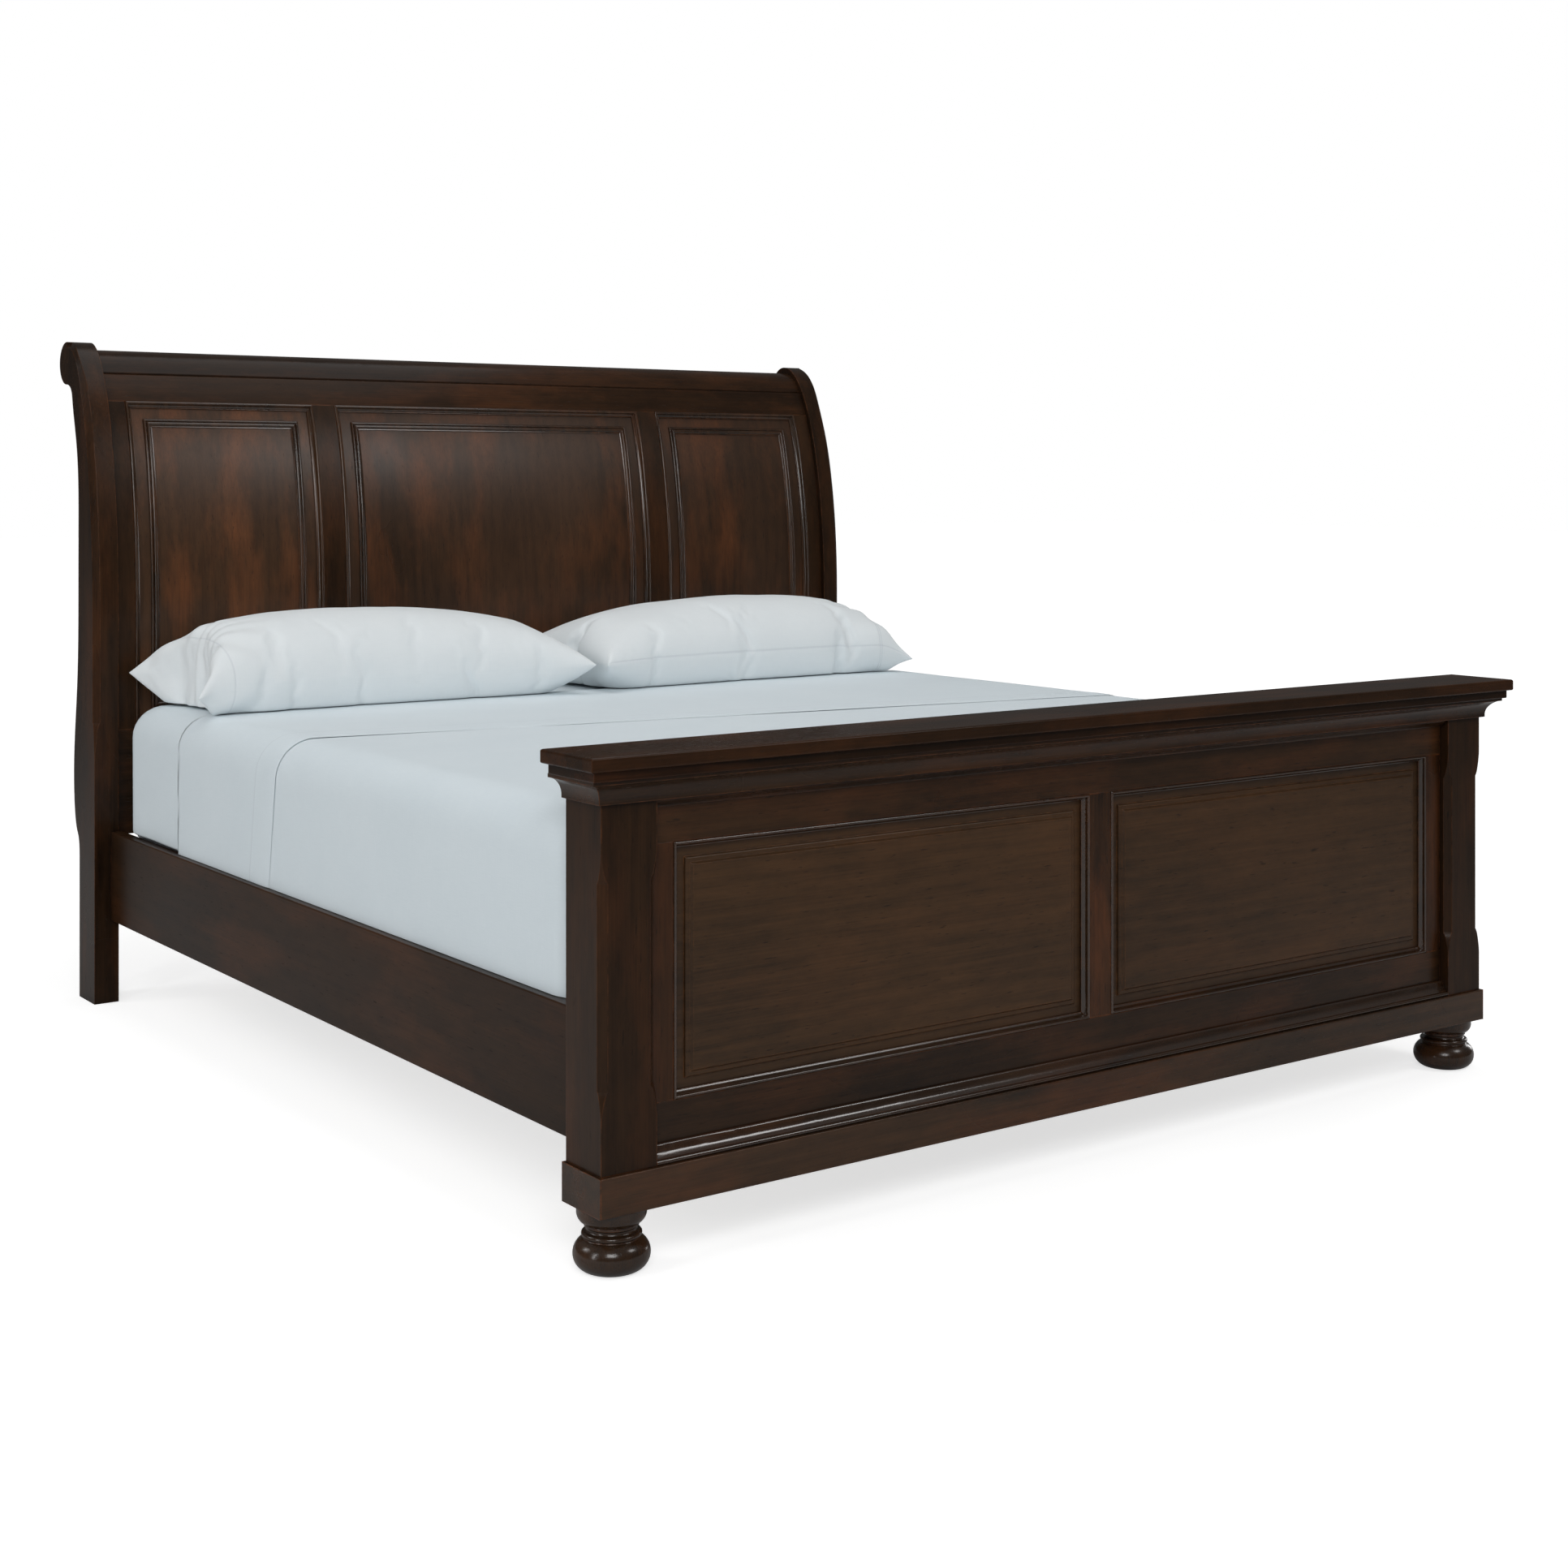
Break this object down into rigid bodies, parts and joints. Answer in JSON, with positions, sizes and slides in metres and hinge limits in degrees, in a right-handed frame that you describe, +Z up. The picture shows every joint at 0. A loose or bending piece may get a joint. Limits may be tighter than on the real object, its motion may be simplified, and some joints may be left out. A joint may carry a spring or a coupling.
{
  "type": "sleigh bed",
  "caption": "Panelled wooden sleigh bed: scrolled headboard, low footboard on bun feet, side rails, slats, foundation, mattress and pillows.",
  "frame": {"origin": "on the floor under the middle of the bed's bounding box", "axes": "+Y from the footboard to the headboard, +Z up, +X to the right seen from the foot"},
  "size_m": [2.172, 2.4739, 1.518],
  "materials": {
    "cross_wood": "dark espresso stain, semi-gloss lacquer",
    "foundation_fabric": "plain grey non-woven cover",
    "glide_plastic": "matte black",
    "mattress_cotton": "pale blue-grey cotton sheet",
    "moulding_wood": "dark espresso stain, semi-gloss lacquer",
    "panel_veneer": "dark reddish-brown veneer, semi-gloss lacquer",
    "pillow_cotton": "pale blue-grey cotton case",
    "plain_timber": "plain sanded softwood",
    "plated_steel": "zinc plated",
    "rail_wood": "dark espresso stain, semi-gloss lacquer",
    "turned_wood": "dark espresso stain, semi-gloss lacquer",
    "upright_wood": "dark espresso stain, semi-gloss lacquer"
  },
  "bodies": {
    "frame": {"bun_foot_bolts": "plated_steel", "bun_foot_left": "turned_wood", "bun_foot_right": "turned_wood", "footboard_base_moulding": "moulding_wood", "footboard_bottom_rail": "cross_wood", "footboard_cap": "cross_wood", "footboard_cap_step": "cross_wood", "footboard_centre_stile": "upright_wood", "footboard_cove": "moulding_wood", "footboard_frieze": "moulding_wood", "footboard_panel_left": "panel_veneer", "footboard_panel_right": "panel_veneer", "footboard_post_left": "upright_wood", "footboard_post_right": "upright_wood", "footboard_sticking": "moulding_wood", "footboard_stile_left": "upright_wood", "footboard_stile_right": "upright_wood", "footboard_top_rail": "cross_wood", "headboard_bead": "moulding_wood", "headboard_bottom_rail": "cross_wood", "headboard_inner_stile_left": "upright_wood", "headboard_inner_stile_right": "upright_wood", "headboard_outer_stile_left": "upright_wood", "headboard_outer_stile_right": "upright_wood", "headboard_panel_centre": "panel_veneer", "headboard_panel_left": "panel_veneer", "headboard_panel_right": "panel_veneer", "headboard_post_left": "upright_wood", "headboard_post_right": "upright_wood", "headboard_roll_rail": "cross_wood", "headboard_sticking": "moulding_wood", "headboard_top_rail": "cross_wood", "leg_bolts": "plated_steel", "plate_screws": "plated_steel", "plinth_front": "cross_wood", "plinth_returns": "cross_wood", "post_slotted_plates": "plated_steel", "rail_hook_plates": "plated_steel", "side_rail_left": "rail_wood", "side_rail_right": "rail_wood", "slat_1": "plain_timber", "slat_2": "plain_timber", "slat_3": "plain_timber", "slat_4": "plain_timber", "slat_5": "plain_timber", "slat_cleat_left": "plain_timber", "slat_cleat_right": "plain_timber", "slat_screws": "plated_steel", "support_leg_1": "plain_timber", "support_leg_2": "plain_timber", "support_leg_3": "plain_timber"},
    "foundation": {"foundation_left": "foundation_fabric", "foundation_right": "foundation_fabric"},
    "mattress": {"mattress": "mattress_cotton"},
    "pillow_left": {"pillow_left": "pillow_cotton"},
    "pillow_right": {"pillow_right": "pillow_cotton"},
    "glide_head": {"leg_glide_3": "glide_plastic"},
    "glide_middle": {"leg_glide_2": "glide_plastic"},
    "glide_foot": {"leg_glide_1": "glide_plastic"}
  },
  "joints": [
    {"name": "foundation_lift", "type": "slide", "parent": "frame", "child": "foundation", "axis": [0, 0, 1], "range_m": [0, 0.3]},
    {"name": "mattress_lift", "type": "slide", "parent": "foundation", "child": "mattress", "axis": [0, 0, 1], "range_m": [0, 0.25]},
    {"name": "pillow_left_lift", "type": "slide", "parent": "mattress", "child": "pillow_left", "axis": [0, 0, 1], "range_m": [0, 0.3]},
    {"name": "pillow_right_lift", "type": "slide", "parent": "mattress", "child": "pillow_right", "axis": [0, 0, 1], "range_m": [0, 0.3]},
    {"name": "glide_foot_turn", "type": "hinge", "parent": "frame", "child": "glide_foot", "pos_m": [0, -0.493, 0], "axis": [0, 0, 1], "continuous": true},
    {"name": "glide_middle_turn", "type": "hinge", "parent": "frame", "child": "glide_middle", "pos_m": [0, -0.049, 0], "axis": [0, 0, 1], "continuous": true},
    {"name": "glide_head_turn", "type": "hinge", "parent": "frame", "child": "glide_head", "pos_m": [0, 0.395, 0], "axis": [0, 0, 1], "continuous": true}
  ]
}
